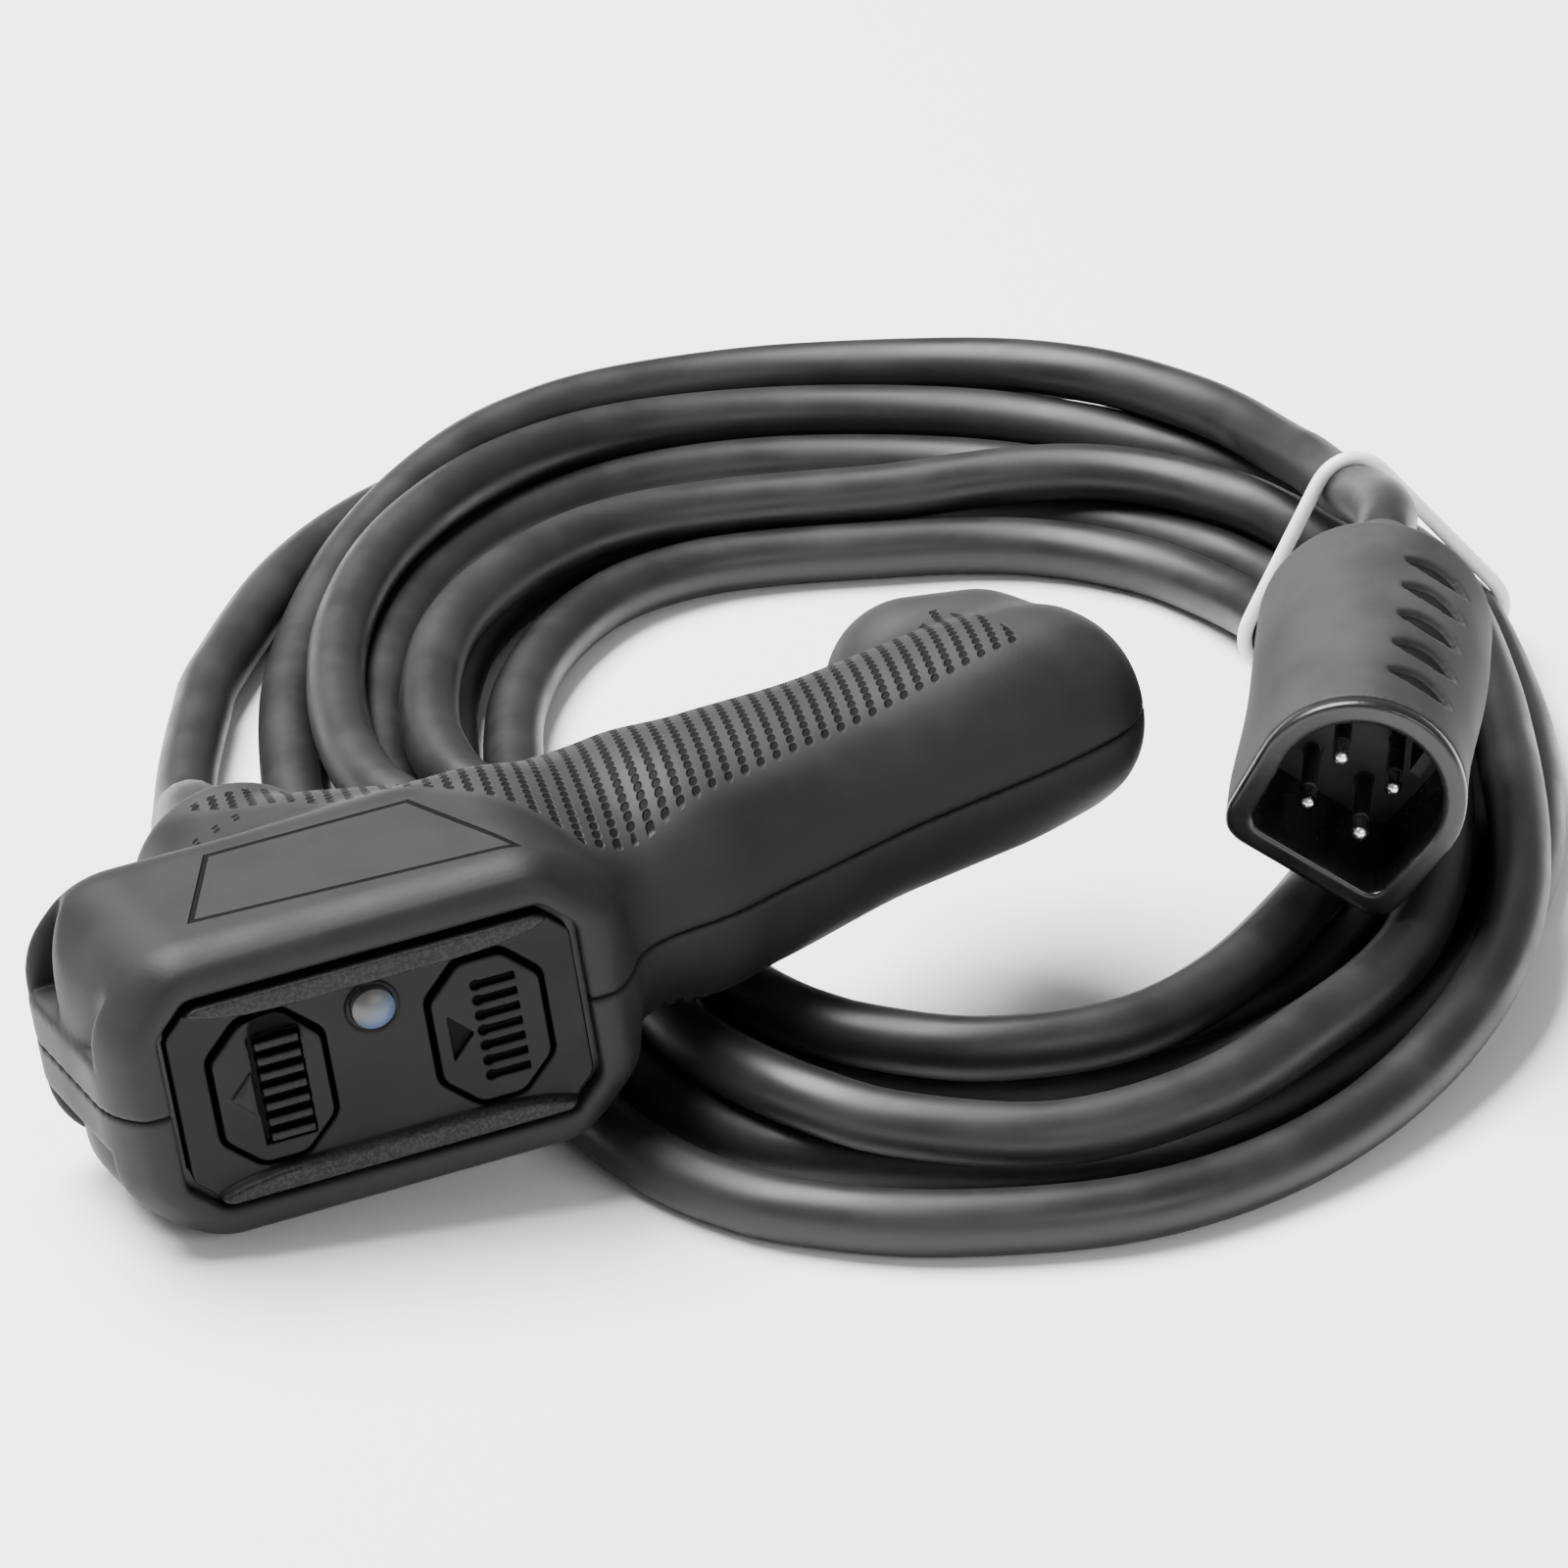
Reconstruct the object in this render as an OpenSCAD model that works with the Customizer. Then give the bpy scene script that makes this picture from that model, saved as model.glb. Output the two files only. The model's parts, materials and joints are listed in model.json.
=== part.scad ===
// Wired hand remote: a pistol-shaped handset with two push buttons, lying on its coiled cord,
// and the four-pin plug at the cord's other end.
// Millimetres, +Z up. The table is z = 0, and the origin is under the middle of the handset.
// The handset's own axes: x along the button panel towards the grip, y into the head, z across the shells.

/* [Handset] */
// Width of the head along the panel
head_w = 72; // [60:1:90]
// Depth of the head behind the panel
head_d = 36; // [28:1:48]
// Thickness of the head across both shells
head_h = 44; // [36:1:52]
// Rounding of the head's edges
head_r = 8; // [4:0.5:12]
// How much further the end face stands out at the back of the head
head_flare = 6; // [0:1:10]
// Wall thickness of the shells
wall = 3; // [2:0.5:4]
// Grip width on the finger-to-palm axis
grip_w = 40; // [32:1:46]
// Grip thickness across both shells
grip_t = 35; // [30:1:42]
// Angle between the grip and the panel
grip_angle = 20; // [10:1:35]
// Tilt of the handset as it lies on the coil
tilt = 8.5; // [0:0.5:15]

/* [Panel] */
// Length of the bezel plate
panel_w = 55.5; // [48:0.5:60]
// Height of the bezel plate
panel_h = 30; // [26:0.5:34]
// Distance of each button from the middle of the panel
button_x = 15; // [12:0.5:18]
// Width of a button hole
button_w = 16.4; // [12:0.2:18]
// Height of a button hole
button_h = 22.6; // [18:0.2:25]
// Travel of a button
button_travel = 1.2; // [0.8:0.1:1.8]
// Diameter of the lamp lens
lens_d = 5.8; // [4:0.2:8]
// Height of the lamp above the middle of the panel
lens_z = 7.7; // [6:0.1:9]

/* [Cord] */
// Diameter of the cord
cord_d = 9; // [7:0.5:11]
// Half width of the coil, outside
coil_a = 98; // [80:1:120]
// Half length of the coil, outside
coil_b = 137; // [100:1:160]
// Height of the coil
coil_h = 17.8; // [10:0.5:30]
// Thickness of the tie
tie_d = 2.4; // [1:0.2:4]

/* [Plug] */
// Outside radius of the plug at its mouth
plug_r = 15; // [13:0.5:18]
// Outside radius of the plug at its back
plug_back_r = 16.8; // [12:0.1:18]
// Length of the plug body
plug_len = 55; // [45:1:65]
// Depth of the mouth
mouth_depth = 20; // [14:1:24]
// Distance of each pin from the middle of the mouth, on both axes
pin_pitch = 4.3; // [3:0.1:6]
// Diameter of a pin
pin_d = 2.4; // [1.5:0.1:3]

/* [Build] */
// Sub-part to draw

/* [Hidden] */
$fn = 48;
eps = 0.01;
fit = 0.05;         // running clearance on a radius
gap = 0.3;          // clearance between parts that don't fit together

black = [0.09, 0.09, 0.09];
rubber = [0.22, 0.22, 0.22];
soft_black = [0.13, 0.13, 0.13];
steel = [0.72, 0.72, 0.74];
brass = [0.78, 0.62, 0.30];

half_h = head_h / 2;
head_left = -head_w / 2;

// Depths of the stack behind the panel, as y in the handset's own axes
front_wall = 3;
gasket_t = 1;
flange_y = front_wall + gasket_t;
bezel_back = flange_y + 1.5;
frame_t = 3.2;
seal_y = bezel_back + frame_t;
seal_t = 0.5;
rib_y = seal_y + seal_t;
rib_t = 2;
plate_y = 0.8;
rail_y = -0.8;
button_front = 0.2;
button_flange_t = 1.5;
stem_end = 9.6;
switch_y = 11.4;
board_y = 18;
board_t = 1.6;
cavity_z = half_h - wall;
cavity_x = head_w / 2 - wall - 0.5;
cavity_back = head_d - wall - 1;
inner_c = 7;

// The muzzle at the back of the head, where the cord leaves
muzzle_x = -6;
muzzle_r = 14.5;
muzzle_end = 62;
muzzle_bore = 10.5;
muzzle_wall = 52;
gland_r = 7;
gland_end = 70;
cord_r = cord_d / 2;
tail_start = 36;

// Grip
grip_start = [48, 29];
grip_end = [112, 52.3];

// Screws
screw_spots = [[-28.5, 26.5], [28.5, 26.5], [29, 13], [70, 37], [100, 48]];
screw_r = 1.5;
insert_r = 2.2;
boss_r = 3.6;
head_bore_r = 3;
board_screw_spots = [[-24, 13], [24, 13], [-24, -13], [24, -13]];
board_screw_r = 1.2;
board_bore_end = 23.5;
clamp_x = 7.2;
clamp_y = 42;
clamp_screw_r = 1;

// Where things lie
lay_at = [-39.4, -35.8, half_h * cos(tilt) + 31 * sin(tilt) + 0.5];
coil_at = [60.6, 67.2, 0];
coil_turn = -17;
plug_at = [103.9, -17.7, 35.8];
plug_turn = -23.4;
plug_dip = 2.8;
plug_roll = -31;

module lay() {
    translate(lay_at) rotate([0, -tilt, 0]) children();
}

// The plug's own axes: z runs out of the mouth, whose rim is z = 0
module lay_plug() {
    translate(plug_at) rotate([0, 0, plug_turn]) rotate([90 + plug_dip, 0, 0])
        rotate([0, 0, plug_roll]) children();
}

// Flat shapes

function octagon(w, h, c) = [
    [-w / 2 + c, -h / 2], [w / 2 - c, -h / 2], [w / 2, -h / 2 + c], [w / 2, h / 2 - c],
    [w / 2 - c, h / 2], [-w / 2 + c, h / 2], [-w / 2, h / 2 - c], [-w / 2, -h / 2 + c]
];

// An octagonal slab from depth y0 to y1, seen along y
module slab(w, h, c, y0, y1) {
    translate([0, y1, 0]) rotate([90, 0, 0]) linear_extrude(y1 - y0) polygon(octagon(w, h, c));
}

// A rod along y
module rod(r, y0, y1) {
    translate([0, y1, 0]) rotate([90, 0, 0]) cylinder(r = r, h = y1 - y0);
}

// A tube swept along points, with n sides and flat ends
function unit(v) = v / norm(v);
function tangent(p, i) = unit(p[min(i + 1, len(p) - 1)] - p[max(i - 1, 0)]);
function side_of(t) = unit(cross(t, abs(t[2]) > 0.9 ? [1, 0, 0] : [0, 0, 1]));
function ring_at(p, i, r, n) =
    let (t = tangent(p, i), a = side_of(t), b = cross(t, a))
    [for (k = [0:n - 1]) p[i] + r * (cos(360 * k / n) * a + sin(360 * k / n) * b)];

module tube(p, r, n = 10) {
    last = len(p) - 1;
    rings = [for (i = [0:last]) each ring_at(p, i, r, n)];
    sides = [for (i = [0:last - 1]) for (k = [0:n - 1])
        [i * n + k, (i + 1) * n + k, (i + 1) * n + (k + 1) % n, i * n + (k + 1) % n]];
    polyhedron(
        points = rings,
        faces = concat([[for (k = [0:n - 1]) k]], sides, [[for (k = [n - 1:-1:0]) last * n + k]]),
        convexity = 10
    );
}

// A smooth curve through hand-chosen points, steps per span
function at(p, i) = p[max(0, min(len(p) - 1, i))];
function spline_point(p, i, t) =
    let (a = at(p, i - 1), b = at(p, i), c = at(p, i + 1), d = at(p, i + 2))
    b + t * ((c - a) / 2 + t * ((a - 2.5 * b + 2 * c - d / 2) + t * ((3 * b - a - 3 * c + d) / 2)));
function smooth(p, steps) = concat(
    [for (i = [0:len(p) - 2]) for (s = [0:steps - 1]) spline_point(p, i, s / steps)],
    [p[len(p) - 1]]
);

// Handset

module ball(x, y, z, r, n = 24) {
    translate([x, y, z]) sphere(r, $fn = n);
}

module head_form() {
    hull() for (z = [-1, 1] * (half_h - head_r)) {
        ball(head_left + head_r, head_r, z, head_r, 20);
        ball(head_left - head_flare + head_r, head_d - head_r, z, head_r, 20);
        ball(-head_left - head_r, head_r, z, head_r, 20);
        ball(-head_left - head_r, head_d - head_r, z, head_r, 20);
    }
}

// The body of the muzzle and of the finger side behind the head
module muzzle_form() {
    hull() {
        translate([muzzle_x, 0, 0]) rod(muzzle_r, 20, muzzle_end - 3);
        translate([muzzle_x, 0, 0]) rod(muzzle_r - 3, 20, muzzle_end);
        ball(12, 38, 0, 17);
        ball(28, 28, 0, 19);
    }
}

module grip_slice(p) {
    translate([p[0], p[1], 0]) rotate([0, 0, grip_angle]) scale([0.5, 1, grip_t / grip_w])
        sphere(grip_w / 2, $fn = 32);
}

module grip_form() {
    hull() {
        grip_slice(grip_start);
        grip_slice(grip_end);
    }
}

module neck_form() {
    hull() {
        ball(26, 10, 0, 9);
        for (z = [-9, 9]) ball(24, 14, z, 10);
        ball(30, 26, 0, 18);
        grip_slice([54, 31.2]);
    }
}

// The finger stop at the end of the grip
module beak_form() {
    hull() {
        ball(98, 63, 0, 10);
        ball(98, 52, 0, 15);
        ball(110, 53, 0, 13);
    }
}

module handset_form() {
    head_form();
    muzzle_form();
    neck_form();
    grip_form();
    beak_form();
}

// Scooped pocket in the end face of the head; its floor is a round bulge
module end_pocket() {
    difference() {
        translate([head_left - head_flare - 2, 7.5, 7]) cube([10, 23.5, 12.5]);
        translate([head_left + 15, 19, 0]) cylinder(r = 17, h = 20);
    }
}

// Everything hollow inside the handset
module cavity() {
    slab(2 * cavity_x, 2 * cavity_z, inner_c, front_wall, cavity_back);
    translate([muzzle_x, 0, 0]) {
        rod(muzzle_bore, cavity_back - 1, muzzle_wall);
        rod(gland_r + fit, muzzle_wall - 1, muzzle_end + 2);
    }
    translate([36, 24.6, 0]) rotate([0, 90, grip_angle]) cylinder(r = grip_t / 2 - wall - 1, h = 76);
    translate([26, 12, -11]) cube([22, 18, 22]);
}

// Columns for the shell screws, ribs behind the panel, bosses for the board and posts for the cord clamp
module inner_ribs(side) {
    for (p = screw_spots) translate([p[0], p[1], -30]) cylinder(r = boss_r, h = 60);
    translate([-20, rib_y, side * (cavity_z - 1.4) - 1.6]) cube([40, rib_t, 3.2]);
    for (p = board_screw_spots) if (p[1] * side > 0) translate([p[0], 0, p[1]])
        rod(3, board_y + board_t, cavity_back + 1);
    if (side < 0) for (x = [-clamp_x, clamp_x]) translate([muzzle_x + x, clamp_y, -12])
        cylinder(r = 2.2, h = 10.1);
}

module screw_hole(p, side) {
    translate([p[0], p[1], 0]) {
        if (side > 0) cylinder(r = insert_r + fit, h = 7);
        else {
            translate([0, 0, -30]) cylinder(r = head_bore_r + fit, h = 24);
            translate([0, 0, -10]) cylinder(r = screw_r + 2 * fit, h = 11);
        }
    }
}

// One half shell; side is 1 for the upper one and -1 for the lower one
module shell(side) {
    difference() {
        intersection() {
            handset_form();
            translate([-60, -10, side > 0 ? 0 : -40]) cube([200, 100, 40]);
            union() {
                difference() {
                    translate([-60, -10, -40]) cube([200, 100, 80]);
                    cavity();
                }
                inner_ribs(side);
            }
        }
        slab(panel_w + 2, panel_h + 2, 6, -5, front_wall + eps);
        if (side > 0) end_pocket();
        else mirror([0, 0, 1]) end_pocket();
        for (p = screw_spots) screw_hole(p, side);
        for (p = board_screw_spots) if (p[1] * side > 0) translate([p[0], 0, p[1]])
            rod(board_screw_r + fit, board_y, board_bore_end);
        if (side < 0) for (x = [-clamp_x, clamp_x]) translate([muzzle_x + x, clamp_y, -9])
            cylinder(r = clamp_screw_r + fit, h = 8);
    }
}

module upper_shell() {
    color(rubber) lay() shell(1);
}

module lower_shell() {
    color(rubber) lay() shell(-1);
}

// Panel

module rails() {
    for (s = [-1, 1]) intersection() {
        slab(panel_w, panel_h, 5.5, rail_y, plate_y + eps);
        translate([0, plate_y + eps, 0]) rotate([90, 0, 0]) linear_extrude(plate_y - rail_y + eps)
            polygon([[-28, s * 15.5], [28, s * 15.5], [28, s * 14.2], [17, s * 11.9], [-17, s * 11.9],
                [-28, s * 14.2]]);
    }
}

module front_bezel() {
    color(soft_black) lay() difference() {
        union() {
            slab(panel_w, panel_h, 5.5, plate_y, flange_y + eps);
            slab(61, 37, inner_c, flange_y, bezel_back);
            rails();
        }
        for (x = [-button_x, button_x]) translate([x, 0, 0])
            slab(button_w, button_h, 5, -2, bezel_back + 1);
        translate([0, 0, lens_z]) rod(lens_d / 2 + fit, -2, bezel_back + 1);
    }
}

module bezel_gasket() {
    color(black) lay() difference() {
        slab(61, 37, inner_c, front_wall, flange_y);
        slab(panel_w + 0.6, panel_h + 0.6, 5.6, front_wall - 1, flange_y + 1);
    }
}

module button_frame() {
    color(black) lay() difference() {
        slab(61, 37, inner_c, bezel_back, seal_y);
        for (x = [-button_x, button_x]) translate([x, 0, 0])
            slab(button_w + 2, button_h + 2, 5.6, bezel_back - 1, seal_y + 1);
        translate([0, 0, lens_z]) rod(4.2, bezel_back - 1, seal_y + 1);
    }
}

module seal_sheet() {
    color([0.5, 0.5, 0.52]) lay() difference() {
        slab(61, 37, inner_c, seal_y, seal_y + seal_t);
        for (x = [-button_x, button_x]) translate([x, 0, 0]) rod(2.5 + gap, seal_y - 1, rib_y + 1);
        translate([0, 0, lens_z]) rod(2.2 + gap, seal_y - 1, rib_y + 1);
    }
}

// Cap with a flange behind the bezel and a stem to the switch
module button_cap() {
    slab(button_w - 1.4, button_h - 1.4, 4.6, button_front, bezel_back + 0.2);
    slab(button_w + 1.2, button_h + 1.2, 5.2, bezel_back + 0.2, bezel_back + 0.2 + button_flange_t);
    rod(2.5, bezel_back + 1, stem_end);
}

// Arrow head, pointing outward from the middle of the panel, and seven bars beside it
module arrow(y0, y1, tip, base) {
    translate([0, y1, 0]) rotate([90, 0, 0]) linear_extrude(y1 - y0)
        polygon([[tip, 0], [base, -3.4], [base, 3.4]]);
}

module bars(y0, y1) {
    for (i = [-3:3]) translate([-1.4, y0, i * 2.3 - 0.55]) cube([7, y1 - y0, 1.1]);
}

module button_left() {
    color(soft_black) lay() translate([-button_x, 0, 0]) {
        button_cap();
        arrow(button_front - 0.5, button_front + eps, -5.8, -2.6);
        bars(button_front - 0.5, button_front + eps);
    }
}

module button_right() {
    color(soft_black) lay() translate([button_x, 0, 0]) difference() {
        button_cap();
        arrow(button_front - 1, button_front + 0.7, -2.4, -5.6);
        bars(button_front - 1, button_front + 0.9);
    }
}

module switch_body(x) {
    color([0.16, 0.16, 0.18]) lay() translate([x, 0, 0]) difference() {
        translate([-6, switch_y, -6]) cube([12, board_y - switch_y, 12]);
        rod(3 + fit, switch_y - 1, 13.6 + button_travel);
    }
}

module plunger(x) {
    color([0.85, 0.85, 0.82]) lay() translate([x, 0, 0]) rod(3, stem_end, 13.2);
}

module switch_left() {
    switch_body(-button_x);
}

module switch_right() {
    switch_body(button_x);
}

module plunger_left() {
    plunger(-button_x);
}

module plunger_right() {
    plunger(button_x);
}

module lamp_lens() {
    color([0.62, 0.68, 0.78]) lay() translate([0, 0, lens_z]) {
        intersection() {
            rod(lens_d / 2, -3, bezel_back + eps);
            union() {
                translate([0, 2.7, 0]) sphere(4);
                rod(lens_d / 2, 1, bezel_back + eps);
            }
        }
        rod(3.9, bezel_back, 7);
        rod(2.2, 6.9, 15.8);
    }
}

module lamp_emitter() {
    color([0.92, 0.92, 0.86]) lay() translate([-2.5, board_y - 1.8, lens_z - 2.5]) cube([5, 1.8, 5]);
}

module circuit_board() {
    color([0.08, 0.28, 0.16]) lay() difference() {
        slab(54, 35, 4, board_y, board_y + board_t);
        for (p = board_screw_spots) translate([p[0], 0, p[1]])
            rod(board_screw_r + 0.2, board_y - 1, board_y + board_t + 1);
    }
}

module board_screws() {
    color(steel) lay() for (p = board_screw_spots) translate([p[0], 0, p[1]]) {
        rod(2.2, board_y - 1.4, board_y);
        rod(board_screw_r, board_y - 0.5, board_bore_end - 0.5);
    }
}

module terminal_block() {
    color([0.80, 0.80, 0.76]) lay() translate([muzzle_x - 7, board_y + board_t, -6])
        cube([14, 7.4, 12]);
}

module shell_screws() {
    color(steel) lay() for (p = screw_spots) translate([p[0], p[1], 0]) difference() {
        union() {
            translate([0, 0, -8.4]) cylinder(r = head_bore_r, h = 2.4);
            translate([0, 0, -7]) cylinder(r = screw_r, h = 12.4);
        }
        translate([0, 0, -9]) cylinder(r = 1.5, h = 2, $fn = 6);
    }
}

module thread_inserts() {
    color(brass) lay() for (p = screw_spots) translate([p[0], p[1], 0]) difference() {
        cylinder(r = insert_r, h = 6);
        translate([0, 0, -1]) cylinder(r = screw_r + fit, h = 8);
    }
}

// Cord inside the handset

module cord_gland() {
    color(black) lay() translate([muzzle_x, 0, 0]) difference() {
        union() {
            rod(gland_r, muzzle_wall - 0.5, muzzle_end + 0.5);
            rod(9.4, muzzle_wall - 3, muzzle_wall);
            translate([0, muzzle_end, 0]) rotate([-90, 0, 0])
                cylinder(r1 = 8.6, r2 = 5.8, h = gland_end - muzzle_end);
        }
        rod(cord_r + fit, muzzle_wall - 4, gland_end + 1);
    }
}

module cord_tail() {
    color(rubber) lay() translate([muzzle_x, 0, 0]) rod(cord_r, tail_start, gland_end);
}

module cord_clamp() {
    color([0.3, 0.3, 0.3]) lay() translate([muzzle_x, clamp_y, 0]) difference() {
        union() {
            translate([-8.8, -3, -1.9]) cube([17.6, 6, 4.9]);
            translate([-5.6, -3, -1]) cube([11.2, 6, 7.6]);
        }
        rod(cord_r + fit, -5, 5);
        translate([0, 0, -5]) cube([2 * (cord_r + fit), 10, 10], center = true);
        for (x = [-clamp_x, clamp_x]) translate([x, 0, -5]) cylinder(r = clamp_screw_r + 2 * fit, h = 20);
    }
}

module clamp_screws() {
    color(steel) lay() for (x = [-clamp_x, clamp_x]) translate([muzzle_x + x, clamp_y, 0]) {
        translate([0, 0, 3]) cylinder(r = 1.5, h = 1.2);
        translate([0, 0, -8.5]) cylinder(r = clamp_screw_r, h = 12);
    }
}

// One conductor from the cord's tail to the terminal block; sx and sz choose its corner
module wire(sx, sz) {
    route = [
        [sx * 1.7, tail_start, sz * 1.7],
        [sx * 1.8, 34.5, sz * 1.8],
        [sx * 2.4, 32, sz * 2.4],
        [sx * 3.1, 29.5, sz * 3.1],
        [sx * 3.4, board_y + board_t + 7.4, sz * 3.4]
    ];
    lay() translate([muzzle_x, 0, 0]) tube(smooth(route, 2), 0.9, 8);
}

module wire_black() {
    color([0.05, 0.05, 0.05]) wire(-1, 1);
}

module wire_red() {
    color([0.7, 0.08, 0.06]) wire(1, 1);
}

module wire_green() {
    color([0.05, 0.45, 0.15]) wire(-1, -1);
}

module wire_white() {
    color([0.9, 0.9, 0.9]) wire(1, -1);
}

// Cord outside

// The lead falls from the gland to the table and runs into the coil
lead_out = [
    [-45.3, 34.2, 25.9], [-45.3, 41.2, 25.7], [-45.4, 48.2, 23.9], [-44.9, 55.2, 20.2], [-43.9, 62.2, 15.6],
    [-42.4, 69.2, 11], [-40.4, 77.2, 7.2], [-37.4, 86.2, 5.2], [-33.4, 96.2, 4.6], [-28.4, 106.2, 4.5],
    [-22.4, 116.2, 4.5]
];

// The lead leaves the plug's boot and comes down on the coil
function plug_point(d) = plug_at
    + d * [-sin(plug_turn) * cos(plug_dip), cos(plug_turn) * cos(plug_dip), sin(plug_dip)];
lead_in = [
    plug_point(46), plug_point(58), plug_point(70), plug_point(77), plug_point(79),
    [138, 61, 39.2], [140.4, 67, 38.3], [142.2, 74, 36.7], [143.6, 81, 34.4], [144.7, 88, 31.6],
    [145.8, 96, 28.8], [146.6, 104, 26.6]
];

// Angle of the tie round the coil, and how far the coil is drawn in there
tie_angle = 42;
coil_sides = 60;
coil_half_w = 20;
function pinch(t) = exp(-pow((t - tie_angle) / 22, 2));
function coil_w(t) = coil_half_w - 7 * pinch(t);
function coil_floor(t) = (tie_d + 0.4) * exp(-pow((t - tie_angle) / 6, 2));
function coil_top(t) = coil_h + 5 * pinch(t);
function sign_pow(v, e) = sign(v) * pow(abs(v), e);
function coil_mid(t) = [
    (coil_a - coil_half_w + 2 * pinch(t)) * sign_pow(cos(t), 0.86),
    (coil_b - coil_half_w + 2 * pinch(t)) * sign_pow(sin(t), 0.86)
];
function coil_out(t) =
    let (d = coil_mid(t + 1) - coil_mid(t - 1))
    [d[1], -d[0]] / norm(d);
function coil_section(w, z0, z1) = [
    [-w + 4, z0], [w - 4, z0], [w, z0 + 4], [w, z1 - 4.5], [w - 4.5, z1], [-w + 4.5, z1],
    [-w, z1 - 4.5], [-w, z0 + 4]
];

module coil_form() {
    corners = 8;
    points = [for (i = [0:coil_sides - 1])
        let (t = (i + 0.5) * 360 / coil_sides, m = coil_mid(t), o = coil_out(t))
        for (p = coil_section(coil_w(t), coil_floor(t), coil_top(t)))
            [m[0] + p[0] * o[0], m[1] + p[0] * o[1], p[1]]];
    faces = [for (i = [0:coil_sides - 1]) for (k = [0:corners - 1])
        let (j = (i + 1) % coil_sides, l = (k + 1) % corners)
        for (f = [[i * corners + k, i * corners + l, j * corners + l],
            [i * corners + k, j * corners + l, j * corners + k]]) f];
    polyhedron(points = points, faces = faces, convexity = 10);
}

// The room that the handset takes above the coil
module handset_room() {
    lay() {
        translate([-45, -20, -half_h - gap]) cube([81.5, 57, 60]);
        translate([-25, -20, -19 - gap]) cube([81, 82, 60]);
        translate([56, -20, -grip_t / 2 - gap]) cube([80, 105, 60]);
    }
}

module cord_coil() {
    color(rubber) difference() {
        translate(coil_at) rotate([0, 0, coil_turn]) coil_form();
        handset_room();
    }
}

module cord_lead_out() {
    color(rubber) tube(smooth(lead_out, 2), cord_r, 12);
}

module cord_lead_in() {
    color(rubber) tube(smooth(lead_in, 2), cord_r, 12);
}

// A coated wire round the drawn-in bundle, its ends twisted together on top
module cord_tie() {
    m = coil_mid(tie_angle);
    o = coil_out(tie_angle);
    w = coil_w(tie_angle) + tie_d / 2 + 0.3;
    z1 = coil_top(tie_angle) + tie_d / 2 + 0.3;
    loop = [for (q = [95:18:445])
        let (p = [w * sign_pow(cos(q), 0.6), (z1 + tie_d / 2) / 2 + (z1 - tie_d / 2) / 2 * sign_pow(sin(q), 0.6)])
        [m[0] + p[0] * o[0], m[1] + p[0] * o[1], p[1]]];
    color([0.93, 0.93, 0.92]) translate(coil_at) rotate([0, 0, coil_turn]) tube(loop, tie_d / 2, 8);
}

// Plug

// Round on top, flat below with two corners
module arch(r, low) {
    hull() {
        intersection() {
            circle(r);
            translate([-r, 0]) square([2 * r, r]);
        }
        for (x = [-1, 1]) translate([x * (r - 3), -low + 2]) circle(2, $fn = 24);
    }
}

pin_spots = [for (p = [[-1, 1], [1, 1], [-1, -1], [1, -1]]) p * pin_pitch + [0, -2.4]];
pin_tip = -4;
plug_low = 15;
liner_t = 1.2;
cavity_r = 11.7;
cavity_low = 11.8;
rim_t = 2.5;
carrier_back = -30;
shank_r = 1.5;

module plug_form() {
    hull() {
        translate([0, 0, -20]) linear_extrude(20 - rim_t) arch(plug_r, plug_low);
        translate([0, 0, -plug_len + 3]) cylinder(r = plug_back_r, h = 10);
        translate([0, 0, -plug_len]) cylinder(r = plug_back_r - 3, h = 10);
    }
}

module grip_slots() {
    for (i = [0:4]) translate([0, plug_r - 0.9 + 0.25 * i, -11.5 - 7.6 * i]) rotate([-90, 0, 0])
        linear_extrude(4) polygon([[-5, 0], [-1, -2], [6, 0], [-1, 2]]);
}

module plug_body() {
    color([0.30, 0.30, 0.30]) lay_plug() difference() {
        plug_form();
        translate([0, 0, carrier_back]) linear_extrude(40) arch(cavity_r + liner_t + fit, cavity_low + liner_t + fit);
        translate([0, -2.4, -46]) cylinder(r = 9.5, h = 20);
        translate([0, 0, -plug_len - 1]) cylinder(r = cord_r + fit, h = 20);
        grip_slots();
    }
}

module plug_liner() {
    color(black) lay_plug() difference() {
        union() {
            translate([0, 0, -rim_t]) linear_extrude(rim_t) arch(plug_r, plug_low);
            translate([0, 0, carrier_back]) linear_extrude(-carrier_back)
                arch(cavity_r + liner_t, cavity_low + liner_t);
        }
        translate([0, 0, carrier_back - 1]) linear_extrude(-carrier_back + 2) arch(cavity_r, cavity_low);
    }
}

module pin_carrier() {
    color(black) lay_plug() difference() {
        union() {
            translate([0, 0, carrier_back]) linear_extrude(-carrier_back - mouth_depth)
                arch(cavity_r - fit, cavity_low - fit);
            // Two ribs that key the plug
            for (x = [-1, 1]) translate([x * 7.4 - 0.8, 2, carrier_back + 2]) cube([1.6, 5.5, 16]);
        }
        for (p = pin_spots) translate([p[0], p[1], carrier_back - 1]) cylinder(r = shank_r + fit, h = 20);
    }
}

// One contact pin with a rounded tip
module pin(i) {
    color([0.86, 0.86, 0.84]) lay_plug() translate([pin_spots[i][0], pin_spots[i][1], 0]) {
        translate([0, 0, -38]) cylinder(r = shank_r, h = 38 - mouth_depth);
        translate([0, 0, -mouth_depth - eps]) cylinder(r = pin_d / 2, h = mouth_depth + pin_tip - pin_d / 2 + eps);
        translate([0, 0, pin_tip - pin_d / 2]) sphere(pin_d / 2);
    }
}

module pin_1() {
    pin(0);
}

module pin_2() {
    pin(1);
}

module pin_3() {
    pin(2);
}

module pin_4() {
    pin(3);
}

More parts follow.
